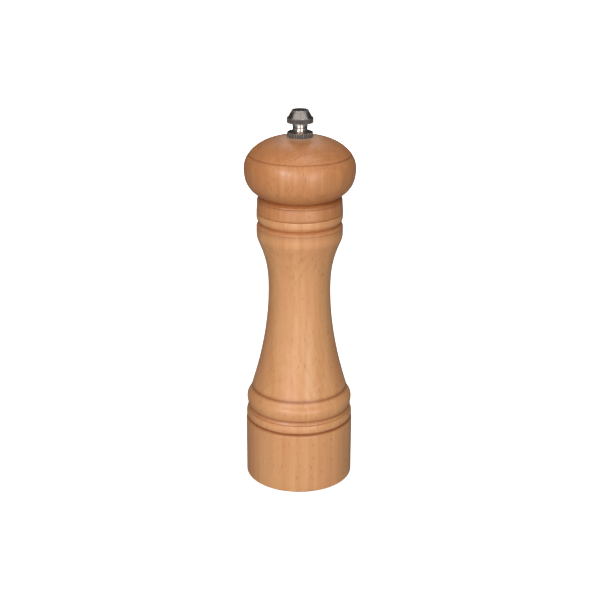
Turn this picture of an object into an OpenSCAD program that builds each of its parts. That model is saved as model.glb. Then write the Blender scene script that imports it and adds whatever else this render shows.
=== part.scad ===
// Turned wooden pepper mill with a burr grinder that a top screw sets fine or coarse.
// Origin at the centre of the flat underside, +Z up along the turning axis, millimetres.

/* [Body turning] */
// Radius of the foot, the widest part of the body
foot_r = 29; // [28.5:0.25:31]
// Height of the straight foot, up to the first groove
foot_h = 31.5; // [31.5:0.5:34]
// Radius at the narrow waist
waist_r = 16.5; // [16:0.25:19]
// Height of the narrow waist
waist_z = 108; // [104:0.5:112]
// Radius of the shoulder under the head
shoulder_r = 22.65; // [22.25:0.05:24]
// Height of the body, where the head meets it
body_h = 149.5; // [148.5:0.5:154]
// Radius of the bore that holds the peppercorns
reservoir_r = 12; // [11.5:0.25:12.5]
// Radius of the recess in the underside
outlet_r = 21.5; // [21.25:0.25:23]

/* [Head turning] */
// Radius of the ball
ball_r = 29; // [28:0.25:31]
// Height of the widest line of the ball above the body
ball_h = 23.5; // [22.5:0.25:24.5]
// Height of the head above the body
head_h = 39.5; // [39:0.5:42]
// Radius of the flat on top that the metal collar sits on
crown_r = 7.4; // [7:0.1:9]
// Radius of the tenon that turns in the mouth of the body
tenon_r = 14.85; // [14.8:0.05:14.95]
// Length of the tenon
tenon_h = 13; // [12:0.5:13.5]

/* [Adjusting knob] */
// Radius of the knurled flange of the collar
flange_r = 6.7; // [6.3:0.1:7.3]
// Number of notches in the knurl
knurl_count = 44; // [24:2:48]
// Number of fine notches round the rim of the knob
rim_knurl_count = 72; // [48:4:80]
// Radius of the knob at its rim
rim_r = 6.75; // [6.25:0.05:7.5]
// Radius of the flat top of the knob
knob_top_r = 4; // [3.4:0.1:4.8]
// Height of the collar and the knob above the head
knob_h = 13.85; // [13:0.05:14.5]

/* [Grinding gear] */
// Width across the flats of the square drive shaft
shaft_w = 5; // [4.8:0.05:5]
// Pitch of the thread at the top of the shaft
thread_pitch = 0.8; // [0.7:0.05:1]
// Radial gap between the two burrs at the middle setting
burr_gap = 0.5; // [0.4:0.05:0.7]
// Number of flutes that draw the peppercorns in, on each burr
flute_count = 8; // [6:1:9]
// Number of working turns of the spring
spring_turns = 5; // [4:0.5:5.5]
// Diameter of the spring wire
wire_d = 0.8; // [0.6:0.05:0.85]

/* [Hidden] */

wood = "#dba878";
head_wood = "#c98f60";
steel = "#b9b6b0";
bright_steel = "#d3cdc6";
brass = "#c8a24a";
burr_steel = "#77736d";

// Smoothness of the turned surfaces and of the small ones
turned_fn = 120;
small_fn = 48;
// How far a cut runs past the face it opens
past = 1;

// Places along the body, from the foot up
low_groove = [foot_r - 1.7, foot_h + 2.35];
low_bead = [foot_r - 0.2, foot_h + 4.6];
mid_groove = [foot_r - 1.9, foot_h + 9.4];
high_bead = [foot_r - 0.6, foot_h + 13.7];
taper_foot = [foot_r - 3.2, foot_h + 20.4];
waist = [waist_r, waist_z];
flare = [shoulder_r - 1.4, body_h - 16.6];
shoulder = [shoulder_r, body_h - 10.5];
cove_edge = [shoulder_r, body_h - 7.2];
cove = [shoulder_r - 1.9, body_h - 5.4];
lip = [shoulder_r - 0.05, body_h - 2.6];
edge = 0.3;
// Fine V-lines cut beside the coves: half their width, their depth and where they are
line_half = 0.2;
line_depth = 0.25;
body_line_z = body_h - 7.5;
bead_line_at = 0.55;
bead_line_half = 0.04;
bead_line_angle = 22;

// Places along the head, from its joint with the body up
joint_gap = 0.2;
head_z = body_h + joint_gap;
head_top = body_h + head_h;
head_line_z = body_h + 6.6;
collar_top = [shoulder_r - 0.4, head_line_z + line_half];
neck = [shoulder_r - 2.25, body_h + 8.75];
ball_side = [ball_r, body_h + ball_h];
crown = [crown_r, head_top];
dome_rise = [0, 8.1];
dome_run = [12.4, -0.7];
// The scribed line on the dome: where it is along the curve, how wide and how deep
scribe_at = 0.313;
scribe_half = 0.008;
scribe_depth = 0.35;
scribe_angle = 50;

// Cavities
outlet_z = 9;
pocket_r = 16.5;
pocket_z = 29.5;
mouth_r = tenon_r + 0.15;
mouth_z = body_h - 14;
head_bore_r = 4.2;

// Drive shaft and what sits on it, from the bottom up
rotor_z = 8.2;
rotor_h = 9.8;
stub_r = 2;
stub_z = 4.6;
nut_z = 5;
nut_h = 2.4;
nut_af = 7;
nut_r = nut_af / 2 / cos(30);
rotor_washer_r = 5;
hex_sides = 6;
seat_z = rotor_z + rotor_h;
washer_t = 0.6;
washer_r = 6;
spring_z = seat_z + washer_t;
spring_top = 24.7;
spring_r = 4.6;
thrust_gap = 0.1;
shaft_hole_r = 3.75;
clip_z = 29.6;
clip_t = 0.8;
clip_r = 5.4;
clip_groove_r = 2.6;
clip_slot = 3.6;
thread_r = 2.5;
thread_root_r = 2.05;
thread_z = head_top - 10;
thread_turns = floor(19 / thread_pitch);
shaft_top = thread_z + thread_turns * thread_pitch;

// Burrs and their housing
lip_z = 7.8;
lip_t = 0.8;
lip_in_r = 12.4;
housing_r = outlet_r - 0.5;
sleeve_in_r = 13.5;
sleeve_r = 14.3;
sleeve_top = 26;
stator_z = lip_z + lip_t;
stator_top = 20;
fine_z = 13;
rotor_foot_r = 10.4;
rotor_mid_r = 9.1;
rotor_top_r = 5.9;
stator_mouth_r = 11.6;
flute_w = 1.6;
lug_w = 3;
lug_z = 16;
lug_h = 3;
screw_ring_r = 18.8;
screw_count = 3;
screw_r = 1.2;
screw_len = 9;
screw_head_r = 2.3;
screw_head_h = 1.4;
pilot_gap = 0.05;

// Bridge over the burrs
bridge_w = 7;
bridge_t = 1.5;
bridge_r = sleeve_r + 1.2;
bridge_eye_r = 6.2;
leg_z = 19;
bush_r = 4.4;
bush_flange_t = 0.6;
bush_z = sleeve_top - bush_flange_t;
bush_top = sleeve_top + bridge_t + 0.6;
rivet_z = 22.5;
rivet_r = 1;
rivet_head_r = 1.8;
rivet_head_t = 0.6;

// Drive plate in the foot of the tenon
tenon_z = body_h - tenon_h;
plate_r = 11;
plate_t = 1.5;
plate_gap = 0.15;
plate_screw_x = 7.5;
plate_screw_r = 0.9;
plate_screw_len = 9;
plate_screw_head_r = 1.9;

// Collar and knob on top of the head
spigot_h = 6;
spigot_gap = 0.1;
thread_gap = 0.05;
flange_t = 2.7;
neck_r = 3.9;
neck_foot_r = 4.6;
neck_line_z = head_top + 3.5;
collar_h = 5;
knob_gap = 0.15;
knob_z = head_top + collar_h + knob_gap;
knob_top = head_top + knob_h;
rim_z = head_top + 7.35;
rim_t = 2.6;
rim_ledge = 0.5;
top_edge = [knob_top_r, knob_top];
cone_top = top_edge + [0.25, -0.3];
knob_hole_top = shaft_top + 1.2;
knurl_w = 0.4;
rim_knurl_w = 0.2;

// Point at t on the cubic curve that leaves a towards b and reaches d from c
function curve_point(a, b, c, d, t) =
    let (u = 1 - t)
    u * u * u * a + 3 * u * u * t * b + 3 * u * t * t * c + t * t * t * d;

// Points of that curve between two values of t, without the first
function curve(a, b, c, d, n, t0 = 0, t1 = 1) =
    [for (i = [1:n]) curve_point(a, b, c, d, t0 + (t1 - t0) * i / n)];

// The whole curve in about n steps, with a fine V-line cut across it at one place
function lined_curve(a, b, c, d, n, at, half, depth, angle) = concat(
    curve(a, b, c, d, ceil(n * at), 0, at - half),
    [curve_point(a, b, c, d, at) - depth * [cos(angle), sin(angle)]],
    curve(a, b, c, d, ceil(n * (1 - at)), at + half, 1)
);

// Fine V-line cut in an upright wall, from below up
function wall_line(r, z) = [[r, z - line_half], [r - line_depth, z], [r, z + line_half]];

// Outside of the body, from the underside up to the joint with the head
body_outside = concat(
    [[foot_r - 0.9, 0]],
    curve([foot_r - 0.9, 0], [foot_r - 0.4, 0], [foot_r, 0.4], [foot_r, 0.9], 4),
    [[foot_r, foot_h]],
    curve([foot_r, foot_h], [foot_r, foot_h + 1.3], low_groove + [1.6, -0.2], low_groove, 6),
    curve(low_groove, low_groove + [0.8, 0.5], low_bead - [0, 1.3], low_bead, 5),
    lined_curve(low_bead, low_bead + [0, 1.8], mid_groove + [0.8, -0.8], mid_groove, 7,
        bead_line_at, bead_line_half, line_depth, bead_line_angle),
    curve(mid_groove, mid_groove + [0.6, 0.5], high_bead - [0, 1.8], high_bead, 6),
    curve(high_bead, high_bead + [0, 3.4], taper_foot + [0.5, -3.6], taper_foot, 9),
    curve(taper_foot, taper_foot + [-5.1, 16.5], waist - [0, 20.6], waist, 14),
    curve(waist, waist + [0, 10.6], flare - [3.3, 8], flare, 10),
    curve(flare, flare + [1.1, 2.7], shoulder - [0, 3.4], shoulder, 6),
    wall_line(shoulder_r, body_line_z),
    [cove_edge],
    curve(cove_edge, cove_edge + [0, 0.8], cove + [0.5, -0.4], cove, 5),
    curve(cove, cove + [0.6, 0.6], lip - [0, 1.2], lip, 5),
    [[lip[0], body_h - edge], [lip[0] - edge, body_h]]
);

// Cavities of the body, from the mouth down to the outlet
body_inside = [
    [mouth_r, body_h],
    [mouth_r, mouth_z],
    [reservoir_r, mouth_z - 2],
    [reservoir_r, pocket_z + 2],
    [pocket_r, pocket_z],
    [pocket_r, outlet_z],
    [outlet_r, outlet_z],
    [outlet_r, 0]
];

// Outside of the head, from its joint with the body up to the crown
head_outside = concat(
    [[lip[0] - edge, head_z], [lip[0], head_z + edge]],
    wall_line(collar_top[0], head_line_z),
    curve(collar_top, collar_top + [0, 0.9], neck + [0.6, -0.65], neck, 6),
    curve(neck, neck + [5.55, 3.1], ball_side - dome_rise, ball_side, 14),
    lined_curve(ball_side, ball_side + dome_rise, crown + dome_run, crown, 19,
        scribe_at, scribe_half, scribe_depth, scribe_angle)
);

// Bore, plate recess and tenon of the head, from the crown back to the joint
head_inside = [
    [head_bore_r, head_top],
    [head_bore_r, tenon_z + plate_t],
    [plate_r + plate_gap, tenon_z + plate_t],
    [plate_r + plate_gap, tenon_z],
    [tenon_r - edge, tenon_z],
    [tenon_r, tenon_z + edge],
    [tenon_r, head_z]
];

// Flat ring standing on height z
module ring(r_out, r_in, z, h) {
    translate([0, 0, z])
        difference() {
            cylinder(r = r_out, h = h, $fn = small_fn);
            translate([0, 0, -past])
                cylinder(r = r_in, h = h + 2 * past, $fn = small_fn);
        }
}

// Square bar on the axis
module square_bar(w, z, h) {
    translate([-w / 2, -w / 2, z])
        cube([w, w, h]);
}

// Copies at equal angles, the first at a start angle
module around(count, start = 0) {
    for (i = [0:count - 1])
        rotate([0, 0, start + i * 360 / count])
            children();
}

// V-shaped cutter that follows a cone from a lower to an upper point
module flute(low, high, skew) {
    rise = high[1] - low[1];
    lean = atan((high[0] - low[0]) / rise);
    length = norm(high - low);
    translate([(low[0] + high[0]) / 2, 0, (low[1] + high[1]) / 2])
        rotate([skew, lean, 0])
            rotate([0, 0, 45])
                cube([flute_w, flute_w, length], center = true);
}

// Turned wooden body with the reservoir bored through it
module body() {
    color(wood)
        difference() {
            rotate_extrude($fn = turned_fn)
                polygon(concat(body_outside, body_inside));
            around(screw_count, 90)
                translate([screw_ring_r, 0, outlet_z - past])
                    cylinder(r = screw_r + pilot_gap, h = screw_len + past, $fn = small_fn);
        }
}

// Flange plate with the sleeve that holds the outer burr
module burr_housing() {
    color(steel)
        difference() {
            rotate_extrude($fn = turned_fn)
                polygon([
                    [lip_in_r, lip_z],
                    [housing_r, lip_z],
                    [housing_r, outlet_z],
                    [sleeve_r, outlet_z],
                    [sleeve_r, sleeve_top],
                    [sleeve_in_r, sleeve_top],
                    [sleeve_in_r, stator_z],
                    [lip_in_r, stator_z]
                ]);
            around(screw_count, 90)
                translate([screw_ring_r, 0, lip_z - past])
                    cylinder(r = screw_r + 0.4, h = outlet_z - lip_z + 2 * past, $fn = small_fn);
            around(2, 90)
                translate([sleeve_in_r - past, -lug_w / 2, lug_z])
                    cube([sleeve_r - sleeve_in_r + 2 * past, lug_w, lug_h]);
            around(2)
                translate([sleeve_in_r - past, 0, rivet_z])
                    rotate([0, 90, 0])
                        cylinder(r = rivet_r, h = sleeve_r - sleeve_in_r + 2 * past, $fn = small_fn);
        }
}

// Outer burr: a ring with a fine cone below and a fluted throat above
module stator() {
    color(burr_steel)
        union() {
            difference() {
                rotate_extrude($fn = turned_fn)
                    polygon([
                        [rotor_foot_r + burr_gap, stator_z],
                        [sleeve_in_r, stator_z],
                        [sleeve_in_r, stator_top],
                        [stator_mouth_r, stator_top],
                        [rotor_mid_r + burr_gap, fine_z]
                    ]);
                around(flute_count)
                    flute([rotor_mid_r + burr_gap, fine_z], [stator_mouth_r + 0.6, stator_top + 1], 20);
            }
            around(2, 90)
                intersection() {
                    translate([sleeve_in_r - 0.5, -lug_w / 2, lug_z])
                        cube([sleeve_r - sleeve_in_r + 0.5, lug_w, lug_h]);
                    translate([0, 0, lug_z])
                        cylinder(r = sleeve_r, h = lug_h, $fn = turned_fn);
                }
        }
}

// Pan-head wood screw, head down, with its seat at height 0
module wood_screw() {
    difference() {
        union() {
            translate([0, 0, -screw_head_h])
                cylinder(r1 = screw_head_r - 0.5, r2 = screw_head_r, h = screw_head_h / 2, $fn = small_fn);
            translate([0, 0, -screw_head_h / 2])
                cylinder(r = screw_head_r, h = screw_head_h / 2, $fn = small_fn);
            cylinder(r = screw_r, h = screw_len - 2, $fn = small_fn);
            translate([0, 0, screw_len - 2])
                cylinder(r1 = screw_r, r2 = 0.2, h = 2, $fn = small_fn);
        }
        for (turn = [0, 90])
            rotate([0, 0, turn])
                translate([-1.3, -0.3, -screw_head_h - past])
                    cube([2.6, 0.6, past + 0.8]);
    }
}

// Screws that hold the housing flange to the body
module housing_screws() {
    color(steel)
        around(screw_count, 90)
            translate([screw_ring_r, 0, lip_z])
                wood_screw();
}

// Strap bent over the sleeve, with an eye that carries the shaft bush
module bridge() {
    color(steel)
        difference() {
            union() {
                translate([-bridge_r, -bridge_w / 2, sleeve_top])
                    cube([2 * bridge_r, bridge_w, bridge_t]);
                translate([0, 0, sleeve_top])
                    cylinder(r = bridge_eye_r, h = bridge_t, $fn = small_fn);
                for (side = [0, 1])
                    mirror([side, 0, 0])
                        translate([sleeve_r, -bridge_w / 2, leg_z])
                            cube([bridge_r - sleeve_r, bridge_w, sleeve_top + bridge_t - leg_z]);
            }
            translate([0, 0, sleeve_top - past])
                cylinder(r = bush_r, h = bridge_t + 2 * past, $fn = small_fn);
            around(2)
                translate([sleeve_r - past, 0, rivet_z])
                    rotate([0, 90, 0])
                        cylinder(r = rivet_r, h = bridge_r - sleeve_r + 2 * past, $fn = small_fn);
        }
}

// Rivets through the bridge legs and the sleeve
module bridge_rivets() {
    color(bright_steel)
        around(2)
            translate([0, 0, rivet_z])
                rotate([0, 90, 0]) {
                    translate([0, 0, sleeve_in_r])
                        cylinder(r = rivet_r, h = bridge_r - sleeve_in_r, $fn = small_fn);
                    translate([0, 0, bridge_r])
                        cylinder(r1 = rivet_head_r, r2 = rivet_head_r - 0.4, h = rivet_head_t,
                            $fn = small_fn);
                }
}

// Flanged bush in the bridge that the shaft turns in
module shaft_bush() {
    color(brass)
        rotate_extrude($fn = small_fn)
            polygon([
                [shaft_hole_r, bush_z],
                [washer_r, bush_z],
                [washer_r, sleeve_top],
                [bush_r, sleeve_top],
                [bush_r, bush_top],
                [shaft_hole_r, bush_top]
            ]);
}

// Compression spring, wound as a sweep of the wire section along a helix
module spring() {
    sides = 8;
    steps = 16;
    rings = spring_turns * steps;
    lift = (spring_top - spring_z - wire_d) / rings;
    points = [
        for (i = [0:rings], s = [0:sides - 1])
            let (a = i * 360 / steps, b = s * 360 / sides, r = spring_r + wire_d / 2 * cos(b))
            [r * cos(a), r * sin(a), spring_z + wire_d / 2 + i * lift + wire_d / 2 * sin(b)]
    ];
    walls = [
        for (i = [0:rings - 1], s = [0:sides - 1], half = [0, 1])
            let (k = i * sides, n = (s + 1) % sides)
            half == 0 ? [k + s, k + sides + s, k + sides + n] : [k + s, k + sides + n, k + n]
    ];
    first = [for (s = [0:sides - 1]) s];
    last = [for (s = [sides - 1:-1:0]) rings * sides + s];
    color(bright_steel)
        polyhedron(points, concat(walls, [first, last]));
}

// Washer between the spring and the bush
module thrust_washer() {
    color(brass)
        ring(washer_r, shaft_hole_r, spring_top, bush_z - thrust_gap - spring_top);
}

// Washer with a square hole that the spring presses on the inner burr
module spring_seat() {
    color(steel)
        difference() {
            translate([0, 0, seat_z])
                cylinder(r = rotor_top_r, h = washer_t, $fn = small_fn);
            square_bar(shaft_w, seat_z - past, washer_t + 2 * past);
        }
}

// Square shaft, threaded round at the top for the knob and at the foot for the nut
module drive_shaft() {
    color(bright_steel)
        difference() {
            union() {
                square_bar(shaft_w, rotor_z, thread_z - rotor_z);
                translate([0, 0, stub_z])
                    cylinder(r = stub_r, h = rotor_z - stub_z, $fn = small_fn);
                rotate_extrude($fn = small_fn)
                    polygon(concat(
                        [[0, thread_z], [thread_root_r, thread_z]],
                        [for (i = [0:thread_turns - 1], half = [0, 1])
                            half == 0 ? [thread_r, thread_z + (i + 0.5) * thread_pitch]
                                : [thread_root_r, thread_z + (i + 1) * thread_pitch]],
                        [[0, shaft_top]]
                    ));
            }
            ring(shaft_w, clip_groove_r, clip_z, clip_t);
        }
}

// Inner burr: fine cone below, fluted cone above, keyed to the square shaft
module rotor() {
    color(burr_steel)
        difference() {
            rotate_extrude($fn = turned_fn)
                polygon([
                    [0, rotor_z],
                    [rotor_foot_r, rotor_z],
                    [rotor_mid_r, fine_z],
                    [rotor_top_r, seat_z],
                    [0, seat_z]
                ]);
            square_bar(shaft_w, rotor_z - past, rotor_h + 2 * past);
            around(flute_count)
                flute([rotor_mid_r, fine_z], [rotor_top_r, seat_z + 0.5], -25);
        }
}

// Washer under the inner burr
module rotor_washer() {
    color(bright_steel)
        ring(rotor_washer_r, stub_r, nut_z + nut_h, rotor_z - nut_z - nut_h);
}

// Hexagon nut that holds the inner burr on the shaft
module rotor_nut() {
    color(bright_steel)
        difference() {
            translate([0, 0, nut_z])
                cylinder(r = nut_r, h = nut_h, $fn = hex_sides);
            translate([0, 0, nut_z - past])
                cylinder(r = stub_r, h = nut_h + 2 * past, $fn = small_fn);
        }
}

// Open clip in the shaft groove, which keeps the shaft from dropping out
module stop_clip() {
    color(steel)
        difference() {
            ring(clip_r, clip_groove_r, clip_z, clip_t);
            translate([-clip_slot / 2, 0, clip_z - past])
                cube([clip_slot, clip_r + past, clip_t + 2 * past]);
        }
}

// Turned wooden head with a tenon below and a bore for the shaft
module head() {
    color(head_wood)
        difference() {
            rotate_extrude($fn = turned_fn)
                polygon(concat(head_outside, head_inside));
            around(2)
                translate([plate_screw_x, 0, tenon_z])
                    cylinder(r = plate_screw_r + pilot_gap, h = plate_screw_len, $fn = small_fn);
        }
}

// Plate with a square hole that turns the shaft with the head
module drive_plate() {
    color(steel)
        difference() {
            translate([0, 0, tenon_z])
                cylinder(r = plate_r, h = plate_t, $fn = turned_fn);
            square_bar(shaft_w + 0.3, tenon_z - past, plate_t + 2 * past);
            around(2)
                translate([plate_screw_x, 0, tenon_z])
                    countersink();
        }
}

// Countersunk hole, wide end down
module countersink() {
    translate([0, 0, -past])
        cylinder(r = plate_screw_r + 0.2, h = plate_t + 2 * past, $fn = small_fn);
    cylinder(r1 = plate_screw_head_r, r2 = plate_screw_r, h = 1, $fn = small_fn);
}

// Countersunk wood screws of the drive plate
module drive_plate_screws() {
    color(bright_steel)
        around(2)
            translate([plate_screw_x, 0, tenon_z])
                difference() {
                    union() {
                        cylinder(r1 = plate_screw_head_r, r2 = plate_screw_r, h = 1, $fn = small_fn);
                        cylinder(r = plate_screw_r, h = plate_screw_len - 1.5, $fn = small_fn);
                        translate([0, 0, plate_screw_len - 1.5])
                            cylinder(r1 = plate_screw_r, r2 = 0.2, h = 1.3, $fn = small_fn);
                    }
                    translate([-plate_screw_head_r - past, -0.25, -past])
                        cube([2 * plate_screw_head_r + 2 * past, 0.5, past + 0.5]);
                }
}

// Collar with a knurled flange, seated on the crown by a spigot in the bore
module knurled_collar() {
    color(bright_steel)
        difference() {
            rotate_extrude($fn = turned_fn)
                polygon([
                    [thread_r + 0.2, head_top - spigot_h],
                    [head_bore_r - spigot_gap, head_top - spigot_h],
                    [head_bore_r - spigot_gap, head_top],
                    [flange_r, head_top],
                    [flange_r, head_top + flange_t - edge],
                    [flange_r - edge, head_top + flange_t],
                    [neck_foot_r, head_top + flange_t],
                    [neck_r, neck_line_z - line_half],
                    [neck_r - line_half, neck_line_z],
                    [neck_r, neck_line_z + line_half],
                    [neck_r, head_top + collar_h],
                    [thread_r + 0.2, head_top + collar_h]
                ]);
            notches(knurl_count, flange_r, head_top, flange_t, knurl_w);
        }
}

// Upright V-notches round a disc
module notches(count, r, z, h, w) {
    around(count)
        translate([r, 0, z + h / 2])
            rotate([0, 0, 45])
                cube([w, w, h + past], center = true);
}

// Knob that screws on the shaft: a neck, a knurled rim with a ledge, and a cone with a flat top
module adjusting_knob() {
    color(bright_steel)
        difference() {
            rotate_extrude($fn = turned_fn)
                polygon(concat(
                    [
                        [thread_r + thread_gap, knob_z],
                        [neck_r, knob_z],
                        [neck_r, rim_z],
                        [rim_r - edge, rim_z],
                        [rim_r, rim_z + edge],
                        [rim_r, rim_z + rim_t],
                        [rim_r - rim_ledge, rim_z + rim_t],
                        cone_top
                    ],
                    curve(cone_top, cone_top + [-0.06, 0.16], top_edge + [0.14, 0], top_edge, 4),
                    [
                        [0, knob_top],
                        [0, knob_hole_top],
                        [thread_r + thread_gap, knob_hole_top]
                    ]
                ));
            notches(rim_knurl_count, rim_r, rim_z, rim_t, rim_knurl_w);
        }
}

body();
burr_housing();
stator();
housing_screws();
bridge();
bridge_rivets();
shaft_bush();
spring();
thrust_washer();
spring_seat();
drive_shaft();
rotor();
rotor_washer();
rotor_nut();
stop_clip();
head();
drive_plate();
drive_plate_screws();
knurled_collar();
adjusting_knob();
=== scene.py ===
"""Looks of the turned wooden pepper mill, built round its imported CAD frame.

Blender works in metres with +Z up. Outlines are written in millimetres.
"""

import math

import bmesh
import bpy
from mathutils import Matrix, Vector


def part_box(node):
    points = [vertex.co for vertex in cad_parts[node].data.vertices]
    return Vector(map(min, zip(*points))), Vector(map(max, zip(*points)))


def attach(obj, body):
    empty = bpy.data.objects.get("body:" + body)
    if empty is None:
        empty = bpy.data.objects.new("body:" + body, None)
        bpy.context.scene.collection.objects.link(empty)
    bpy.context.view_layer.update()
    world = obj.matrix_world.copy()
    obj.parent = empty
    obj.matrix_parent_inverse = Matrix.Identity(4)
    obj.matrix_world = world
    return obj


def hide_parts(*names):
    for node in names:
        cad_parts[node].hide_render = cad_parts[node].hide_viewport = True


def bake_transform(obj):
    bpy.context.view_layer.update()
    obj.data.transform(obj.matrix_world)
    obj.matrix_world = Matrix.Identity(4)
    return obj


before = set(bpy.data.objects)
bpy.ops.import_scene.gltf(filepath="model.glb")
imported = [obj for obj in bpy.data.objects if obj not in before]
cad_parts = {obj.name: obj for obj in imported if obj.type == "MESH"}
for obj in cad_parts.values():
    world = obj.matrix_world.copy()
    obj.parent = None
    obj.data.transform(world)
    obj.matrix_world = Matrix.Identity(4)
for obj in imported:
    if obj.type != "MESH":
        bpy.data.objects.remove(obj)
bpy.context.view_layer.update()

MM = 0.001
TURN = 2 * math.pi


# ---------------------------------------------------------------- sizes read from the frame


def low(node):
    """Lowest corner of a CAD node in millimetres."""
    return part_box(node)[0] / MM


def high(node):
    """Highest corner of a CAD node in millimetres."""
    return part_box(node)[1] / MM


foot_r = high("body").x
body_h = high("body").z
ball_r = high("head").x
head_top = high("head").z
tenon_z = low("head").z
flange_r = high("knurled_collar").x
collar_top_z = high("knurled_collar").z
collar_low_z = low("knurled_collar").z
knob_z = low("adjusting_knob").z
knob_top = high("adjusting_knob").z
rim_r = high("adjusting_knob").x
shaft_low_z = low("drive_shaft").z
shaft_top_z = high("drive_shaft").z
rotor_z = low("rotor").z
rotor_top_z = high("rotor").z
rotor_r = high("rotor").x
stator_z = low("stator").z
stator_top_z = high("stator").z
stator_r = high("stator").x
plate_t = high("drive_plate").z - low("drive_plate").z
plate_r = high("drive_plate").x
spring_low_z = low("spring").z
spring_top_z = high("spring").z
spring_out_r = high("spring").x
clip_low_z = low("stop_clip").z
clip_high_z = high("stop_clip").z

# Sizes that no box gives
SHOULDER_R = 22.65
WAIST_R = 16.5
WAIST_Z = 108.0
RESERVOIR_R = 12.0
POCKET_R = 16.5
POCKET_Z = 29.5
MOUTH_R = 15.0
MOUTH_DEPTH = 14.0
TENON_R = 14.85
HEAD_BORE_R = 4.2
CROWN_R = 7.4
SCRIBE_AT = 0.313
HOUSING_SLEEVE_H = 17.0
HOUSING_PLAY = 0.5
SHAFT_W = 5.0
CLIP_GROOVE_R = 2.6
THREAD_R = 2.5
THREAD_PITCH = 0.8
STUB_R = 2.0
STUB_PITCH = 0.7
NECK_R = 3.9
KNURL_COUNT = 44
KNURL_DEPTH = 0.34
RIM_KNURL_COUNT = 72
RIM_KNURL_DEPTH = 0.18
BURR_FINE_Z = 13.0
BURR_MID_R = 9.1
EASED_EDGE = 0.12

# Heights of the turned details
LOW_GROOVE_Z = 33.85
LOW_LINE_Z = 39.2
MID_GROOVE_Z = 40.9
TAPER_Z = 51.9
cove_line_z = body_h - 7.5
cove_z = body_h - 5.4
neck_line_z = body_h + 6.6
neck_z = body_h + 8.75
flange_top = head_top + 2.7
rim_z = head_top + 7.35
outlet_z = high("burr_housing").z - HOUSING_SLEEVE_H
outlet_r = high("burr_housing").x + HOUSING_PLAY

# Grain of the wood in metres, and lathe lines of the metal to the metre
RING_WIDTH = 0.0023
RAY_WIDTH = 0.0009
RAY_DEPTH = 0.0045
RAY_LENGTH = 0.0048
LATHE_LINES = 9000.0

# Light levels
PAPER_GLOW = 0.85
WORLD_TOP = 0.54
WORLD_SIDE = 0.045
WORLD_FLOOR = 0.29

# The photograph's view
CAMERA_PLACE = (0.0003, -0.6077, 0.3245)
CAMERA_PITCH = 20.25
CAMERA_ROLL = 0.22
CAMERA_LENS = 72.72
SENSOR_WIDTH = 36.0

WOOD_SEGMENTS = 192


# ---------------------------------------------------------------- outlines


def point(a, b, c, d, t):
    """Point at t on the cubic curve that leaves a towards b and reaches d from c."""
    u = 1 - t
    weights = (u * u * u, 3 * u * u * t, 3 * u * t * t, t * t * t)
    return tuple(sum(w * p[i] for w, p in zip(weights, (a, b, c, d))) for i in (0, 1))


def curve(a, b, c, d, n, t0=0.0, t1=1.0):
    """Points of that curve between two values of t, without the first."""
    return [point(a, b, c, d, t0 + (t1 - t0) * i / n) for i in range(1, n + 1)]


def off(p, dr, dz):
    """A point moved by a radius and a height."""
    return (p[0] + dr, p[1] + dz)


def straight(a, b, n):
    """Points along a straight run, without the first."""
    run, rise = b[0] - a[0], b[1] - a[1]
    return [(a[0] + run * i / n, a[1] + rise * i / n) for i in range(1, n + 1)]


def wall_line(r, z, depth=0.25, half=0.2):
    """A fine V-line cut in an upright wall, from below up."""
    shallow_r = r - 0.4 * depth
    lower = [(r, z - half), (shallow_r, z - half / 2)]
    upper = [(shallow_r, z + half / 2), (r, z + half)]
    return lower + [(r - depth, z)] + upper


def lined_curve(a, b, c, d, n, at, half, depth, degrees):
    """The whole curve in about n steps, with a fine V-line cut across it at one place."""
    cut = (math.cos(math.radians(degrees)), math.sin(math.radians(degrees)))
    points = curve(a, b, c, d, math.ceil(n * at), 0, at - half)
    for t, share in ((at - 0.5 * half, 0.4), (at, 1.0), (at + 0.5 * half, 0.4)):
        points.append(off(point(a, b, c, d, t), -share * depth * cut[0], -share * depth * cut[1]))
    points.append(point(a, b, c, d, at + half))
    return points + curve(a, b, c, d, math.ceil(n * (1 - at)), at + half, 1)


# ---------------------------------------------------------------- mesh building


def finished(name, bm):
    """Turns a bmesh into a smooth object in the scene."""
    bmesh.ops.recalc_face_normals(bm, faces=bm.faces)
    mesh = bpy.data.meshes.new(name)
    bm.to_mesh(mesh)
    bm.free()
    mesh.shade_smooth()
    piece = bpy.data.objects.new(name, mesh)
    bpy.context.scene.collection.objects.link(piece)
    return piece


def turned(name, outline, segments, radius_at=None, sharp=35.0):
    """Turns an outline of (radius, height) about Z. One that starts off the axis is closed on itself.

    radius_at(index, radius, height, angle) can reshape each ring.
    """
    bm = bmesh.new()
    rings = []
    for index, (r, z) in enumerate(outline):
        if r < 1e-6:
            rings.append([bm.verts.new((0, 0, z * MM))])
            continue
        ring = []
        for step in range(segments):
            angle = TURN * step / segments
            reach = radius_at(index, r, z, angle) if radius_at else r
            x, y = reach * math.cos(angle), reach * math.sin(angle)
            ring.append(bm.verts.new((x * MM, y * MM, z * MM)))
        rings.append(ring)
    pairs = list(zip(rings[:-1], rings[1:]))
    if len(rings[0]) > 1:
        pairs.append((rings[-1], rings[0]))
    for one, two in pairs:
        for here in range(segments):
            after = (here + 1) % segments
            if len(one) == 1:
                bm.faces.new((one[0], two[after], two[here]))
            elif len(two) == 1:
                bm.faces.new((one[here], one[after], two[0]))
            else:
                bm.faces.new((one[here], one[after], two[after], two[here]))
    piece = finished(name, bm)
    piece.data.set_sharp_from_angle(angle=math.radians(sharp))
    return piece


def paint(piece, layer, value_at):
    """Stores value_at(radius, height) of each vertex, in millimetres, as a named attribute."""
    mesh = piece.data
    attribute = mesh.attributes.new(layer, "FLOAT", "POINT")
    for v in mesh.vertices:
        r = math.hypot(v.co.x, v.co.y) / MM
        attribute.data[v.index].value = value_at(r, v.co.z / MM)


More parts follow.
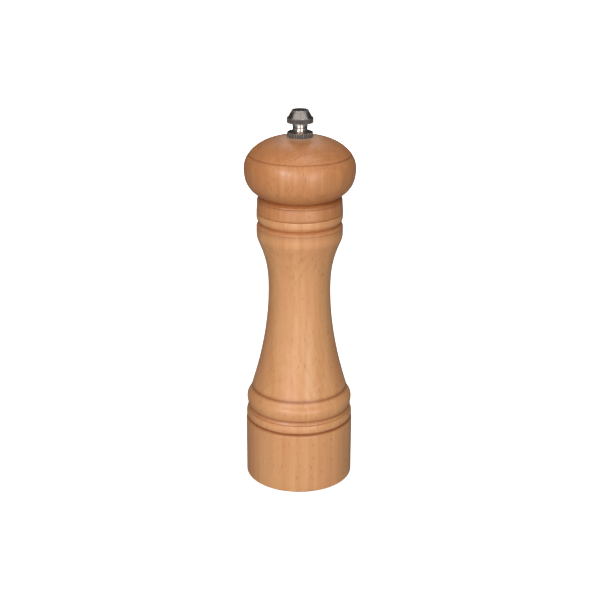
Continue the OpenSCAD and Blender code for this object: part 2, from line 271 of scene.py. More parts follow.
def shade_and_finish_at(z, bands):
    """How much painted shade and gathered finish lie at a height, from bands of (height, strength,
    width).
    """
    return max(strength * math.exp(-(((z - at) / width) ** 2)) for at, strength, width in bands)


def place(piece, body, node, material):
    """Hangs a finished piece on its body, in place of its CAD node."""
    piece.data.materials.append(material)
    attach(piece, body)
    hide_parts(node)


# ---------------------------------------------------------------- node helper


class Shader:
    """Builds the node tree of one material or world."""

    def __init__(self, tree):
        self.tree = tree
        tree.nodes.clear()

    def feed(self, socket, value):
        """Gives an input another node's output, or a plain value."""
        if isinstance(value, bpy.types.NodeSocket):
            self.tree.links.new(value, socket)
        else:
            socket.default_value = value

    def add(self, kind, *values, out=0, **settings):
        """Adds a node. Values go to its inputs, in order or by (name, value)."""
        node = self.tree.nodes.new(kind)
        for key, setting in settings.items():
            setattr(node, key, setting)
        for place_in_order, value in enumerate(values):
            if isinstance(value, tuple) and isinstance(value[0], str):
                self.feed(node.inputs[value[0]], value[1])
            else:
                self.feed(node.inputs[place_in_order], value)
        return node.outputs[out]

    def coordinates(self, kind="Object"):
        return self.add("ShaderNodeTexCoord", out=kind)

    def math(self, operation, *values):
        return self.add("ShaderNodeMath", *values, operation=operation)

    def plus(self, one, two):
        return self.math("ADD", one, two)

    def minus(self, one, two):
        return self.math("SUBTRACT", one, two)

    def times(self, one, two):
        return self.math("MULTIPLY", one, two)

    def away(self, x, y):
        """Distance of (x, y) from the axis."""
        return self.math("SQRT", self.plus(self.times(x, x), self.times(y, y)))

    def vector(self, operation, *values):
        return self.add("ShaderNodeVectorMath", *values, operation=operation)

    def join(self, x, y, z):
        return self.add("ShaderNodeCombineXYZ", x, y, z)

    def split(self, vector):
        """The X, Y and Z of a vector."""
        node = self.tree.nodes.new("ShaderNodeSeparateXYZ")
        self.feed(node.inputs[0], vector)
        return node.outputs

    def mix(self, factor, one, two):
        """A colour mix."""
        node = self.tree.nodes.new("ShaderNodeMix")
        node.data_type = "RGBA"
        self.feed(node.inputs[0], factor)
        self.feed(node.inputs[6], one)
        self.feed(node.inputs[7], two)
        return node.outputs[2]

    def tint(self, colour, where, strength, other):
        """The colour, mixed with another by a strength where the mask is 1."""
        return self.mix(self.times(where, strength), colour, other)

    def noise(self, vector, scales, detail=2.0, rough=0.5, out=0):
        """Noise drawn out by its own scale along each axis."""
        stretched = self.vector("MULTIPLY", vector, scales)
        return self.add("ShaderNodeTexNoise", ("Vector", stretched), ("Scale", 1.0), ("Detail", detail),
                        ("Roughness", rough), out=out)

    def smooth(self, value, start, end):
        """0 below start, 1 above end, smooth between."""
        return self.add("ShaderNodeMapRange", value, start, end, 0.0, 1.0,
                        interpolation_type="SMOOTHSTEP")

    def attribute(self, name):
        return self.add("ShaderNodeAttribute", attribute_name=name, out="Fac")

    def surface(self, colour, roughness, normal, *others):
        return self.add("ShaderNodeBsdfPrincipled", ("Base Color", colour), ("Roughness", roughness),
                        ("Normal", normal), *others)


def rgb(r, g, b):
    """A colour given as it looks on a screen, 0 to 255, turned to linear light."""
    def linear(c):
        c /= 255
        return c / 12.92 if c <= 0.04045 else ((c + 0.055) / 1.055) ** 2.4
    return (linear(r), linear(g), linear(b), 1.0)


def new_material(name):
    material = bpy.data.materials.new(name)
    material.use_nodes = True
    return material, Shader(material.node_tree)


def finish_material(s, surface):
    output = s.tree.nodes.new("ShaderNodeOutputMaterial")
    s.feed(output.inputs["Surface"], surface)


# ---------------------------------------------------------------- materials


# pale bare wood, also used for a painted glow on the crown round the collar
BARE_AND_LIT_WOOD = rgb(234, 200, 166)
# grime colour, also laid as painted shade in the metal's knurls, thread roots and threaded hole
GRIME_AND_SHADE = rgb(46, 37, 33)


def growth_rings(s, radial):
    """Rings that darken slowly and end in a thin late line."""
    uneven = s.noise(s.join(0.0, 0.0, radial), (0.0, 0.0, 160.0), detail=1.0)
    cycle = s.math("FRACT", s.plus(s.times(radial, 1 / RING_WIDTH), s.times(uneven, 1.6)))
    return s.times(s.smooth(cycle, 0.15, 0.9), s.minus(1.0, s.smooth(cycle, 0.92, 1.0)))


def ray_flecks(s, around, radial, along):
    """Thin spindles on the tangential faces, and broader flakes on the radial ones."""
    cell = (1 / RAY_WIDTH, 1 / RAY_DEPTH, 1 / RAY_LENGTH)
    where = s.vector("MULTIPLY", s.join(around, radial, along), cell)
    cells = s.tree.nodes.new("ShaderNodeTexVoronoi")
    s.feed(cells.inputs["Vector"], where)
    s.feed(cells.inputs["Scale"], 1.0)
    chance = s.split(cells.outputs["Color"])[0]
    reach = s.times(chance, 0.34)
    inside = s.minus(1.0, s.smooth(s.math("DIVIDE", cells.outputs["Distance"], reach), 0.55, 1.0))
    return s.times(inside, s.smooth(chance, 0.35, 0.7))


def grain_bump(s, fibres, pore, ray):
    """Relief of the grain, with faint turning marks round the piece."""
    height = s.split(s.coordinates())[2]
    turning = s.noise(s.join(0.0, 0.0, height), (0.0, 0.0, 2600.0))
    relief = s.minus(s.times(turning, 0.5), s.times(pore, 0.2))
    relief = s.minus(s.plus(relief, s.times(fibres, 0.6)), s.times(ray, 0.08))
    return s.add("ShaderNodeBump", ("Strength", 0.28), ("Distance", 0.00012), ("Height", relief))


def wood_roughness(s, fibres, end, bare_and_lit):
    """Satin, a little duller on fibres and end grain, and matt where the wood is bare."""
    rough = s.plus(0.30, s.times(fibres, 0.14))
    rough = s.plus(rough, s.times(s.smooth(bare_and_lit, 0.92, 1.0), 0.35))
    return s.math("MINIMUM", s.plus(rough, s.times(end, 0.06)), 1.0)


def wood(name, pale, deep, ray_colour, end_colour, blush_colour, groove_colour, pith, seed, coat):
    """Satin beech with its grain along Z, and growth rings round a pith that lies outside the piece."""
    material, s = new_material(name)
    in_tree = s.vector("ADD", s.coordinates(), (0.0, 0.0, seed))
    sway = s.vector("SUBTRACT", s.noise(in_tree, (16.0, 16.0, 6.0), out="Color"), (0.5, 0.5, 0.5))
    swayed = s.vector("ADD", in_tree, s.vector("MULTIPLY", sway, (0.007, 0.007, 0.0)))
    x, y, along = s.split(s.vector("SUBTRACT", swayed, (pith[0], pith[1], 0.0)))
    radial = s.away(x, y)
    around = s.times(s.math("ARCTAN2", x, y), math.hypot(*pith))
    late = growth_rings(s, radial)
    ray = ray_flecks(s, around, radial, along)

    # long streaks, fibres and pores, all drawn out along the grain
    streaks = s.noise(swayed, (300.0, 120.0, 6.0), detail=3.0, rough=0.6)
    fibres = s.noise(swayed, (900.0, 900.0, 24.0), rough=0.6)
    pore = s.smooth(s.noise(swayed, (3200.0, 3200.0, 260.0), detail=1.0), 0.60, 0.72)

    # the rings show most as arcs on the end grain, which also drinks more finish
    end = s.smooth(s.math("ABSOLUTE", s.split(s.coordinates("Normal"))[2]), 0.30, 0.95)
    tone = s.times(late, s.plus(0.14, s.times(end, 0.16)))
    tone = s.plus(tone, s.times(s.smooth(streaks, 0.30, 0.72), 0.45))
    tone = s.plus(tone, s.times(s.smooth(fibres, 0.35, 0.75), 0.22))
    colour = s.mix(tone, pale, deep)
    colour = s.tint(colour, ray, 0.44, ray_colour)
    colour = s.tint(colour, pore, 0.15, ray_colour)
    blush = s.smooth(s.noise(in_tree, (70.0, 70.0, 14.0), detail=1.0), 0.42, 0.66)
    colour = s.tint(colour, blush, 0.30, blush_colour)
    colour = s.tint(colour, end, 0.30, end_colour)

    # painted shade and gathered finish darken the grooves; bores and the underside are barer, and a
    # painted glow pales a ring of the crown round the collar
    bare_and_lit = s.attribute("bare_and_lit")
    colour = s.tint(colour, s.attribute("groove"), 0.90, groove_colour)
    colour = s.tint(colour, bare_and_lit, 0.60, BARE_AND_LIT_WOOD)

    rough = wood_roughness(s, fibres, end, bare_and_lit)
    bump = grain_bump(s, fibres, pore, ray)
    surface = s.surface(colour, rough, bump, ("IOR", 1.5), ("Specular IOR Level", 0.5),
                        ("Coat Weight", coat), ("Coat Roughness", 0.34))
    finish_material(s, surface)
    return material


def metal(name, bright, dull, roughness, brushing=0.3):
    """Turned metal: fine lathe lines run round the axis, with faint stains, and grime with painted shade
    in the grooves.
    """
    material, s = new_material(name)
    coords = s.coordinates()
    x, y, z = s.split(coords)
    lines = s.noise(s.join(s.away(x, y), 0.0, z), (LATHE_LINES, 0.0, LATHE_LINES), rough=0.7)
    stain = s.smooth(s.noise(coords, (420.0, 420.0, 420.0), detail=4.0, rough=0.6), 0.42, 0.72)
    groove = s.attribute("groove")
    colour = s.mix(s.times(stain, 0.45), bright, dull)
    colour = s.tint(colour, s.smooth(lines, 0.35, 0.65), 0.12, dull)
    colour = s.tint(colour, groove, 0.92, GRIME_AND_SHADE)
    bump = s.add("ShaderNodeBump", ("Strength", brushing), ("Distance", 0.00002), ("Height", lines))
    rough = s.plus(s.plus(roughness, s.times(stain, 0.12)), s.times(groove, 0.6))
    clean = s.minus(1.0, s.times(groove, 0.85))
    finish_material(s, s.surface(colour, rough, bump, ("Metallic", clean)))
    return material


BODY_WOOD = wood(
    "body_wood", pale=rgb(234, 175, 122), deep=rgb(214, 145, 88), ray_colour=rgb(176, 92, 50),
    end_colour=rgb(204, 134, 80), blush_colour=rgb(226, 152, 104), groove_colour=rgb(158, 84, 40),
    pith=(0.050, 0.110), seed=0.37, coat=0.25,
)
HEAD_WOOD = wood(
    "head_wood", pale=rgb(220, 153, 98), deep=rgb(192, 121, 70), ray_colour=rgb(166, 88, 48),
    end_colour=rgb(186, 112, 56), blush_colour=rgb(206, 130, 86), groove_colour=rgb(134, 64, 28),
    pith=(-0.035, 0.070), seed=1.91, coat=0.40,
)
KNOB_METAL = metal("knob_metal", rgb(220, 210, 202), rgb(158, 144, 134), roughness=0.10, brushing=0.07)
BRIGHT_STEEL = metal("bright_steel", rgb(196, 192, 187), rgb(150, 145, 140), roughness=0.24)
PLATED_STEEL = metal("plated_steel", rgb(182, 180, 172), rgb(138, 134, 126), roughness=0.34)
BURR_STEEL = metal("burr_steel", rgb(126, 121, 116), rgb(82, 76, 70), roughness=0.38)
BRASS = metal("brass", rgb(206, 172, 100), rgb(150, 116, 58), roughness=0.28)


# ---------------------------------------------------------------- wooden body


def body_outline():
    """The body from its underside, up the outside and back down through the bores."""
    low_groove = (foot_r - 1.7, LOW_GROOVE_Z)
    low_bead = (foot_r - 0.2, 36.1)
    mid_groove = (foot_r - 1.9, MID_GROOVE_Z)
    high_bead = (foot_r - 0.6, 45.2)
    taper_foot = (foot_r - 3.2, TAPER_Z)
    waist = (WAIST_R, WAIST_Z)
    flare = (SHOULDER_R - 1.4, body_h - 16.6)
    shoulder = (SHOULDER_R, body_h - 10.5)
    cove_edge = (SHOULDER_R, body_h - 7.2)
    cove = (SHOULDER_R - 1.9, cove_z)
    lip = (SHOULDER_R - 0.05, body_h - 2.6)
    foot_edge = (foot_r - 0.9, 0.0)
    foot_side = (foot_r, 0.9)
    foot_top = (foot_r, 31.5)
    outside = [foot_edge]
    outside += curve(foot_edge, off(foot_edge, 0.5, 0), off(foot_side, 0, -0.5), foot_side, 6)
    outside += straight(foot_side, foot_top, 12)
    outside += curve(foot_top, off(foot_top, 0, 1.3), off(low_groove, 1.6, -0.2), low_groove, 12)
    outside += curve(low_groove, off(low_groove, 0.8, 0.5), off(low_bead, 0, -1.3), low_bead, 9)
    outside += lined_curve(low_bead, off(low_bead, 0, 1.8), off(mid_groove, 0.8, -0.8), mid_groove, 14,
                           at=0.55, half=0.04, depth=0.25, degrees=22)
    outside += curve(mid_groove, off(mid_groove, 0.6, 0.5), off(high_bead, 0, -1.8), high_bead, 12)
    outside += curve(high_bead, off(high_bead, 0, 3.4), off(taper_foot, 0.5, -3.6), taper_foot, 16)
    outside += curve(taper_foot, off(taper_foot, -5.1, 16.5), off(waist, 0, -20.6), waist, 40)
    outside += curve(waist, off(waist, 0, 10.6), off(flare, -3.3, -8), flare, 22)
    outside += curve(flare, off(flare, 1.1, 2.7), off(shoulder, 0, -3.4), shoulder, 12)
    outside += wall_line(SHOULDER_R, cove_line_z)
    outside += [cove_edge]
    outside += curve(cove_edge, off(cove_edge, 0, 0.8), off(cove, 0.5, -0.4), cove, 10)
    outside += curve(cove, off(cove, 0.6, 0.6), off(lip, 0, -1.2), lip, 9)
    outside += [(lip[0], body_h - 0.35), (lip[0] - 0.1, body_h - 0.1), (lip[0] - 0.35, body_h)]
    reservoir_top = (RESERVOIR_R, body_h - MOUTH_DEPTH - 2)
    inside = [(MOUTH_R + 0.3, body_h), (MOUTH_R, body_h - 0.3)]
    inside += straight((MOUTH_R, body_h - 0.3), (MOUTH_R, body_h - MOUTH_DEPTH), 4)
    inside += [reservoir_top]
    inside += straight(reservoir_top, (RESERVOIR_R, POCKET_Z + 2), 16)
    inside += [(POCKET_R, POCKET_Z), (POCKET_R, outlet_z)]
    inside += [(outlet_r, outlet_z), (outlet_r, 0.4), (outlet_r + 0.4, 0.0)]
    return outside + inside


def build_body():
    """The turned body, with painted shade and finish in its grooves and bare wood in its bores and
    underneath.
    """
    piece = turned("turned_body", body_outline(), WOOD_SEGMENTS)
    inner_r = RESERVOIR_R + 4.2
    # bands of painted shade and gathered finish in the grooves, creases and fine lines
    bands = (
        (LOW_GROOVE_Z, 0.65, 1.0), (MID_GROOVE_Z, 0.65, 1.0), (TAPER_Z, 0.9, 0.9), (cove_z, 0.55, 0.7),
        (cove_z - 1.2, 0.25, 0.7), (LOW_LINE_Z, 0.5, 0.3), (cove_line_z, 0.5, 0.3),
    )

    def groove(r, z):
        return 0.0 if r < inner_r else shade_and_finish_at(z, bands)

    def bare_and_lit(r, z):
        waist_outside = WAIST_Z - 25 < z < WAIST_Z + 20 and r > RESERVOIR_R + 0.5
        inside = r < inner_r + 0.1 and not waist_outside
        recess = z < outlet_z + 0.1 and r < outlet_r + 0.1
        return 1.0 if inside or recess or z < 0.3 else 0.0

    paint(piece, "groove", groove)
    paint(piece, "bare_and_lit", bare_and_lit)
    place(piece, "mill_body", "body", BODY_WOOD)


# ---------------------------------------------------------------- wooden head


def dome_curve():
    """Ends and handles of the curve from the widest line of the ball to the crown."""
    side = (ball_r, body_h + 23.5)
    crown = (CROWN_R, head_top)
    return side, off(side, 0, 8.1), off(crown, 12.4, -0.7), crown


def head_outline():
    """The head from its joint with the body, up over the ball and back down the bore and tenon."""
    dome = dome_curve()
    joint_z = body_h + 0.2
    side_r = SHOULDER_R - 0.05
    bead_foot = (SHOULDER_R - 0.4, neck_line_z + 0.2)
    neck = (SHOULDER_R - 2.25, neck_z)
    outline = [(side_r - 0.35, joint_z), (side_r - 0.1, joint_z + 0.1), (side_r, joint_z + 0.35)]
    outline += straight((side_r, joint_z + 0.35), (bead_foot[0], neck_line_z - 0.25), 5)
    outline += wall_line(bead_foot[0], neck_line_z)
    outline += curve(bead_foot, off(bead_foot, 0, 0.9), off(neck, 0.6, -0.65), neck, 12)
    outline += curve(neck, off(neck, 5.55, 3.1), off(dome[0], 0, dome[0][1] - dome[1][1]), dome[0], 36)
    outline += lined_curve(*dome, 44, at=SCRIBE_AT, half=0.008, depth=0.35, degrees=50)
    seat_r = plate_r + 0.15
    seat_z = tenon_z + plate_t
    outline += [(HEAD_BORE_R + 0.3, head_top), (HEAD_BORE_R, head_top - 0.3)]
    outline += straight((HEAD_BORE_R, head_top - 0.3), (HEAD_BORE_R, seat_z), 12)
    outline += [(seat_r, seat_z), (seat_r, tenon_z), (TENON_R - 0.3, tenon_z), (TENON_R, tenon_z + 0.3)]
    outline += straight((TENON_R, tenon_z + 0.3), (TENON_R, joint_z), 4)
    return outline


def build_head():
    """The turned head, with painted shade and finish in its grooves and a paler ring of painted glow
    round the collar.
    """
    piece = turned("turned_head", head_outline(), WOOD_SEGMENTS)
    inner_r = 16.0
    lit_ring_width = 5.5
    scribe_z = point(*dome_curve(), SCRIBE_AT)[1]
    # bands of painted shade and gathered finish in the creases, the neck line and the scribed line
    bands = (
        (neck_line_z, 0.45, 0.3), (neck_z - 0.9, 0.35, 1.0), (neck_z, 0.85, 0.5),
        (scribe_z - 0.2, 0.45, 0.3),
    )

    def groove(r, z):
        return 0.0 if r < inner_r else shade_and_finish_at(z, bands)

    def bare_and_lit(r, z):
        if z < body_h + 0.25 or r < HEAD_BORE_R + 0.2:
            return 1.0
        # the paler ring round the collar is a painted glow of light thrown down off the metal flange
        lit_ring = 1 - (r - flange_r) / lit_ring_width
        return max(0.0, min(1.0, lit_ring)) if z > scribe_z else 0.0

    paint(piece, "groove", groove)
    paint(piece, "bare_and_lit", bare_and_lit)
    place(piece, "head", "head", HEAD_WOOD)


# ---------------------------------------------------------------- collar and knob


def knurl_cut(angle, count, depth):
    """Depth of a V-cut knurl with narrow flat crests."""
    crest = abs(2 * ((angle / TURN * count) % 1.0) - 1)
    return depth * max(0.0, 1 - 1.25 * crest)


def knurl_shade_and_grime(deep, on_crests, width):
    """Painted shade and grime at a depth in a knurl, which grows from its crests down over a width."""
    return min(1.0, on_crests + max(0.0, (deep - 0.02) / width))


def build_collar():
    """Knurled flange with a neck above and a spigot below."""
    line_z = head_top + 3.5
    neck_foot = (4.7, flange_top)
    neck_low = (NECK_R, line_z - 0.2)
    hole_r = THREAD_R + 0.2
    spigot_r = HEAD_BORE_R - 0.1
    outline = [(hole_r + 0.2, collar_low_z), (spigot_r - 0.2, collar_low_z)]
    outline += [(spigot_r, collar_low_z + 0.2), (spigot_r, head_top)]
    outline += [(flange_r - 0.25, head_top), (flange_r, head_top + 0.25)]
    knurled_from = len(outline) - 1
    outline += straight((flange_r, head_top + 0.25), (flange_r, flange_top - 0.35), 4)
    knurled_to = len(outline) - 1
    outline += [(flange_r - 0.12, flange_top - 0.1), (flange_r - 0.4, flange_top), neck_foot]
    outline += curve(neck_foot, off(neck_foot, -0.45, 0.1), (NECK_R, flange_top + 0.3), neck_low, 6)
    outline += [(NECK_R - 0.2, line_z), (NECK_R, line_z + 0.2)]
    outline += [(NECK_R, collar_top_z - 0.2), (NECK_R - 0.2, collar_top_z)]
    outline += [(hole_r + 0.2, collar_top_z), (hole_r, collar_top_z - 0.2), (hole_r, collar_low_z + 0.2)]

    def knurl(index, r, z, angle):
        knurled = knurled_from <= index <= knurled_to
        return r - knurl_cut(angle, KNURL_COUNT, KNURL_DEPTH) if knurled else r

    piece = turned("knurled_collar_turned", outline, KNURL_COUNT * 10, radius_at=knurl, sharp=30)

    def groove(r, z):
        on_edge = head_top < z < flange_top - 0.3 and r > NECK_R + 1
        return knurl_shade_and_grime(flange_r - r, 0.62, 0.2) if on_edge else 0.0

    paint(piece, "groove", groove)
    place(piece, "collar", "knurled_collar", KNOB_METAL)


def threaded_hole(r, low_z, high_z):
    """Outline of the knob's blind threaded hole, from its mouth up to its end on the axis."""
    points = [(r, low_z + 0.2)]
    for i in range(int((high_z - low_z - 1) / THREAD_PITCH)):
        turn_z = low_z + i * THREAD_PITCH
        points += [(r, turn_z + 0.4), (r + 0.35, turn_z + 0.8)]
    return points + [(r, high_z), (0, high_z)]


def build_knob():
    """Knob with a neck, a rim with a ledge, and a cone with a flat top. Its hole is threaded."""
    rim_top = rim_z + 2.6
    cone_r = rim_r - 0.5
    flat_edge = (4.0, knob_top)
    cone_top = off(flat_edge, 0.25, -0.3)
    neck_top = (NECK_R, rim_z - 0.5)
    rim_root = (NECK_R + 0.5, rim_z)
    hole_r = THREAD_R + 0.05
    hole_top = shaft_top_z + 1.2
    cone_darkening_z = knob_top - 1.4
    outer = [(hole_r + 0.2, knob_z), (NECK_R - 0.2, knob_z), (NECK_R, knob_z + 0.2), neck_top]
    outer += curve(neck_top, off(neck_top, 0, 0.4), off(rim_root, -0.4, 0), rim_root, 4)
    outer += [(rim_r - 0.3, rim_z), (rim_r - 0.08, rim_z + 0.08), (rim_r, rim_z + 0.3)]
    outer += [(rim_r, rim_top - 0.2), (rim_r - 0.05, rim_top - 0.05), (rim_r - 0.2, rim_top)]
    outer += [(cone_r, rim_top)]
    outer += straight((cone_r, rim_top), cone_top, 5)
    outer += curve(cone_top, off(cone_top, -0.06, 0.16), off(flat_edge, 0.14, 0), flat_edge, 6)
    outer += [(0, knob_top)]
    outline = threaded_hole(hole_r, knob_z, hole_top)[::-1] + outer

    def knurl(index, r, z, angle):
        knurled = r > rim_r - 0.1 and rim_z + 0.1 < z < rim_top - 0.1
        return r - knurl_cut(angle, RIM_KNURL_COUNT, RIM_KNURL_DEPTH) if knurled else r

    piece = turned("adjusting_knob_turned", outline, RIM_KNURL_COUNT * 8, radius_at=knurl, sharp=30)

    def groove(r, z):
        # grime and painted shade in the threaded hole and on the rim knurl, crests included
        if r < hole_r + 0.4 and z < hole_top:
            return 0.7
        # the cone darkens towards its flat top
        if cone_darkening_z < z < knob_top - 0.1:
            return 0.3 * (z - cone_darkening_z)
        on_rim = r > cone_r + 0.2 and rim_z + 0.1 < z < rim_top - 0.1
        return knurl_shade_and_grime(rim_r - r, 0.8, 0.08) if on_rim else 0.0

    paint(piece, "groove", groove)
    place(piece, "knob", "adjusting_knob", KNOB_METAL)


# ---------------------------------------------------------------- shaft and spring


def square_radius(width, angle, corner=0.97):
    """Radius of a square bar with slightly rounded corners."""
    half = width / 2
    flat = half / max(abs(math.cos(angle)), abs(math.sin(angle)))
    return min(flat, half * math.sqrt(2) * corner)


def thread_cut(z, angle, pitch, depth):
    """How deep a helical V-thread is at a place."""
    turn = (z / pitch - angle / TURN) % 1.0
    return depth * abs(2 * turn - 1)


def build_shaft():
    """Square bar with an M5 thread above, an M4 stub below and a groove for the clip."""
    thread_z = head_top - 10
    wide = SHAFT_W  # beyond the corners of the square, which section() cuts out
    outline = [(0, shaft_low_z), (STUB_R - 0.5, shaft_low_z)]
    outline += straight((STUB_R, shaft_low_z + 0.4), (STUB_R, rotor_z - 0.1), 36)
    stub_rings = range(2, len(outline))
    outline += [(STUB_R, rotor_z), (wide, rotor_z), (wide, clip_low_z - 0.01)]
    outline += [(CLIP_GROOVE_R, clip_low_z), (CLIP_GROOVE_R, clip_high_z), (wide, clip_high_z + 0.01)]
    outline += straight((wide, clip_high_z + 0.01), (wide, thread_z - 1.2), 12)
    outline += [(THREAD_R + 0.6, thread_z - 0.5), (THREAD_R, thread_z)]
    thread_from = len(outline)
    outline += straight((THREAD_R, thread_z), (THREAD_R, shaft_top_z - 0.5), 180)
    thread_rings = range(thread_from, len(outline))
    outline += [(THREAD_R - 0.5, shaft_top_z), (0, shaft_top_z)]

    def section(index, r, z, angle):
        if index in stub_rings:
            return r - thread_cut(z, angle, STUB_PITCH, 0.36)
        if index in thread_rings:
            return r - thread_cut(z, angle, THREAD_PITCH, 0.42)
        return min(r, square_radius(SHAFT_W, angle))

    piece = turned("drive_shaft_threaded", outline, 96, radius_at=section, sharp=28)
    paint(piece, "groove", lambda r, z: 0.0 if r > THREAD_R - 0.2 else min(1.0, (THREAD_R - r) * 1.5))
    place(piece, "drive_train", "drive_shaft", BRIGHT_STEEL)


def build_spring():
    """Compression spring with closed ends, which follows the thrust washer above and the burr below."""
    wire_r = 0.4
    mid_r = spring_out_r - wire_r
    low_z = spring_low_z + wire_r
    rise = spring_top_z - wire_r - low_z
    turns = 5.0
    closed = 0.6
    steps = 40
    sides = 12
    bm = bmesh.new()
    rings = []
    for i in range(int(turns * steps) + 1):
        turn = i / steps
        share = min(1.0, max(0.0, (turn - closed) / (turns - 2 * closed)))
        z = low_z + rise * (3 * share * share - 2 * share ** 3 + 2 * share) / 3
        angle = TURN * turn
        ring = []
        for side in range(sides):
            round_wire = TURN * side / sides
            r = mid_r + wire_r * math.cos(round_wire)
            side_z = z + wire_r * math.sin(round_wire)
            ring.append(bm.verts.new((r * math.cos(angle) * MM, r * math.sin(angle) * MM, side_z * MM)))
        rings.append(ring)
    for one, two in zip(rings[:-1], rings[1:]):
        for here in range(sides):
            after = (here + 1) % sides
            bm.faces.new((one[here], one[after], two[after], two[here]))
    bm.faces.new(rings[0])
    bm.faces.new(rings[-1])
    piece = finished("spring_coil", bm)
    piece.data.materials.append(BRIGHT_STEEL)
    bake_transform(piece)
    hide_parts("spring")


# ---------------------------------------------------------------- burrs


def tooth(z, angle, start_z, count, lean, depth):
    """Sawtooth cut of slanted teeth round a cone."""
    turn = (angle / TURN * count + lean * (z - start_z)) % 1.0
    return depth * (turn if turn < 0.8 else (1 - turn) * 4)


def burr_cut(z, angle, foot_z, teeth, flutes):
    """Fine teeth at the foot that give way to deep flutes above. Each is (count, lean, depth)."""
    fine = min(1.0, max(0.0, (BURR_FINE_Z + 0.6 - z) / 1.2))
    return fine * tooth(z, angle, foot_z, *teeth) + (1 - fine) * tooth(z, angle, BURR_FINE_Z, *flutes)


def build_rotor():
    """Inner burr: fine slanted teeth below, deep feeding flutes above, square hole through it."""
    top_r = 5.9
    core_r = 3.9
    hole_w = SHAFT_W + 0.1
    teeth = (36, 0.55, 0.55)
    flutes = (9, -0.09, 1.7)
    outer = [(rotor_r - 0.3, rotor_z)]
    outer += straight((rotor_r, rotor_z + 0.3), (BURR_MID_R, BURR_FINE_Z), 12)
    outer += straight((BURR_MID_R, BURR_FINE_Z), (top_r, rotor_top_z - 0.3), 16)
    outer += [(top_r - 0.3, rotor_top_z)]
    hole = [(hole_w, rotor_top_z), (hole_w, rotor_z)]

    def section(index, r, z, angle):
        if index >= len(outer):
            return square_radius(hole_w, angle, corner=1.0)
        return max(r - burr_cut(z, angle, rotor_z, teeth, flutes), core_r)

    piece = turned("rotor_toothed", outer + hole, 288, radius_at=section, sharp=25)
    paint(piece, "groove", lambda r, z: 0.25)
    place(piece, "drive_train", "rotor", BURR_STEEL)


def add_lugs(piece):
    """Adds the outer burr's two square lugs, which start a little inside its ring."""
    lug_w = 3.0
    lug_z = 17.5
    lug_in = stator_r - 0.4
    lug_out = high("stator").y
    bm = bmesh.new()
    bm.from_mesh(piece.data)
    for side in (1, -1):
        lug = bmesh.ops.create_cube(bm, size=1.0)["verts"]
        size = Vector((lug_w, lug_out - lug_in, lug_w)) * MM
        centre = Vector((0, side * (lug_out + lug_in) / 2, lug_z)) * MM
        bmesh.ops.scale(bm, vec=size, verts=lug)
        bmesh.ops.translate(bm, vec=centre, verts=lug)
    bm.to_mesh(piece.data)
    bm.free()


def build_stator():
    """Outer burr: a ring with fine teeth below, a fluted throat above and two lugs in the sleeve."""
    gap = 0.5
    foot = (rotor_r + gap, stator_z)
    waist = (BURR_MID_R + gap, BURR_FINE_Z)
    mouth = (11.6, stator_top_z)
    teeth = (40, -0.5, 0.5)
    flutes = (10, 0.08, 1.2)
    inner = [foot]
    inner += straight(foot, waist, 10)
    inner += straight(waist, mouth, 14)
    outer = [(stator_r - 0.2, stator_top_z), (stator_r, stator_top_z - 0.2)]
    outer += [(stator_r, stator_z + 0.2), (stator_r - 0.2, stator_z)]

    def section(index, r, z, angle):
        if index >= len(inner):
            return r
        return min(r + burr_cut(z, angle, stator_z, teeth, flutes), stator_r - 0.6)

    piece = turned("stator_toothed", inner + outer, 320, radius_at=section, sharp=25)
    paint(piece, "groove", lambda r, z: 0.25)
    add_lugs(piece)
    place(piece, "mill_body", "stator", BURR_STEEL)


# ---------------------------------------------------------------- carried-over metal parts


def soften(node, material):
    """A CAD part keeps its shape and gets a material and fine eased edges."""
    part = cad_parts[node]
    part.data.materials.clear()
    part.data.materials.append(material)
    bevel = part.modifiers.new("eased_edges", "BEVEL")
    bevel.width = EASED_EDGE * MM
    bevel.segments = 2
    bevel.limit_method = "ANGLE"
    bevel.angle_limit = math.radians(40)


CARRIED = {
    "burr_housing": PLATED_STEEL,
    "housing_screws": PLATED_STEEL,
    "bridge": PLATED_STEEL,
    "bridge_rivets": BRIGHT_STEEL,
    "shaft_bush": BRASS,
    "thrust_washer": BRASS,
    "spring_seat": PLATED_STEEL,
    "rotor_washer": BRIGHT_STEEL,
    "rotor_nut": BRIGHT_STEEL,
    "stop_clip": PLATED_STEEL,
    "drive_plate": PLATED_STEEL,
    "drive_plate_screws": BRIGHT_STEEL,
}


# ---------------------------------------------------------------- stage


def build_studio():
    """A white floor that runs up into a white dome. Only the camera sees it."""
    material, s = new_material("studio_paper")
    mottle = s.noise(s.coordinates(), (40.0, 40.0, 40.0))
    colour = s.mix(mottle, (0.90, 0.90, 0.90, 1), (0.92, 0.92, 0.92, 1))
    paper = s.add("ShaderNodeBsdfPrincipled", ("Base Color", colour), ("Roughness", 0.9),
                  ("Emission Color", (1.0, 1.0, 1.0, 1.0)), ("Emission Strength", PAPER_GLOW))
    finish_material(s, paper)
    edge = 5000.0
    top = 4000.0
    floor_z = -0.1
    floor_edge = (3000, floor_z)
    outline = [(0, floor_z), (300, floor_z), (1000, floor_z), floor_edge]
    outline += curve(floor_edge, (edge, floor_z), (edge, top), (0, top), 24)
    studio = turned("studio", outline[:-1] + [(0, top)], 96)
    studio.data.materials.append(material)
    studio.visible_diffuse = False
    studio.visible_glossy = False
    studio.visible_shadow = False


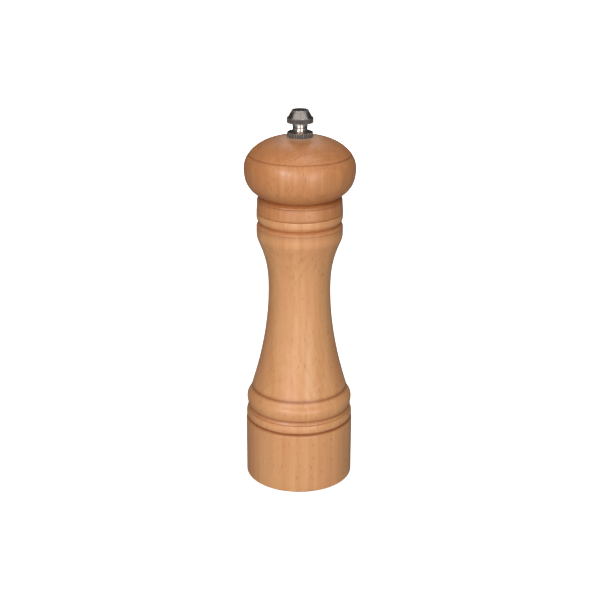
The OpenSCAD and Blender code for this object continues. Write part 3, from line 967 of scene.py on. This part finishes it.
def build_world():
    """Studio light: pale above, dark round the horizon, a soft bounce from below, less of it behind."""
    world = bpy.data.worlds.new("studio")
    bpy.context.scene.world = world
    world.use_nodes = True
    s = Shader(world.node_tree)
    sideways, inward, upward = s.split(s.coordinates("Generated"))
    front = s.plus(0.20, s.times(s.smooth(s.times(inward, -1.0), -0.2, 0.40), 0.80))
    gap = s.smooth(s.math("ABSOLUTE", s.minus(sideways, 0.07)), 0.0, 0.2)
    front = s.times(front, s.plus(0.75, s.times(gap, 0.25)))
    above = s.times(s.times(s.smooth(upward, 0.37, 0.62), WORLD_TOP), front)
    below = s.times(s.smooth(s.times(upward, -1.0), 0.0, 0.3), WORLD_FLOOR)
    below = s.times(below, s.plus(0.10, s.times(front, 0.90)))
    level = s.plus(WORLD_SIDE, s.plus(above, below))
    background = s.add("ShaderNodeBackground", (1.0, 1.0, 1.0, 1.0), level)
    output = s.tree.nodes.new("ShaderNodeOutputWorld")
    s.feed(output.inputs["Surface"], background)


def softbox(name, azimuth, distance, height, target_z, size, radiance, mirrored=True):
    """A softbox at an azimuth from the front, turned to the mill. Its power follows from its size.

    One that is not mirrored gives light but no highlight.
    """
    light = bpy.data.lights.new(name, "AREA")
    light.shape = "RECTANGLE"
    light.size, light.size_y = size
    light.energy = radiance * math.pi * size[0] * size[1]
    lamp = bpy.data.objects.new(name, light)
    angle = math.radians(azimuth)
    lamp.location = (distance * math.sin(angle), -distance * math.cos(angle), height)
    aim = Vector((0, 0, target_z)) - lamp.location
    lamp.rotation_euler = aim.to_track_quat("-Z", "Y").to_euler()
    lamp.visible_camera = False
    lamp.visible_glossy = mirrored
    bpy.context.scene.collection.objects.link(lamp)


def build_camera():
    """The camera stands in front of the mill and above it, tilted down."""
    data = bpy.data.cameras.new("camera")
    data.lens = CAMERA_LENS
    data.sensor_width = SENSOR_WIDTH
    camera = bpy.data.objects.new("camera", data)
    pitch = math.radians(CAMERA_PITCH)
    roll = math.radians(CAMERA_ROLL)
    camera.location = CAMERA_PLACE
    tilt = Matrix.Rotation(math.pi / 2 - pitch, 4, "X") @ Matrix.Rotation(roll, 4, "Z")
    camera.rotation_euler = tilt.to_euler()
    bpy.context.scene.collection.objects.link(camera)
    bpy.context.scene.camera = camera


# ---------------------------------------------------------------- build

build_camera()
build_body()
build_head()
build_collar()
build_knob()
build_shaft()
build_spring()
build_rotor()
build_stator()
for carried_node, carried_material in CARRIED.items():
    soften(carried_node, carried_material)
build_studio()
build_world()
softbox("key", azimuth=-20, distance=0.85, height=0.25, target_z=0.13, size=(0.50, 0.62), radiance=2.4)
softbox("fill", azimuth=26, distance=0.85, height=0.25, target_z=0.13, size=(0.44, 0.62), radiance=3.0)
softbox("hot", azimuth=-34, distance=0.84, height=0.54, target_z=0.18, size=(0.13, 0.11), radiance=36.0)
softbox("top", azimuth=50, distance=0.16, height=0.95, target_z=0.19, size=(0.24, 0.24), radiance=4.2)
softbox("back", azimuth=180, distance=0.9, height=1.05, target_z=0.19, size=(0.40, 0.30), radiance=5.0)
softbox("rear", azimuth=180, distance=0.85, height=0.3, target_z=0.12, size=(0.46, 0.60), radiance=3.2,
        mirrored=False)
bpy.context.scene.view_settings.view_transform = "Standard"
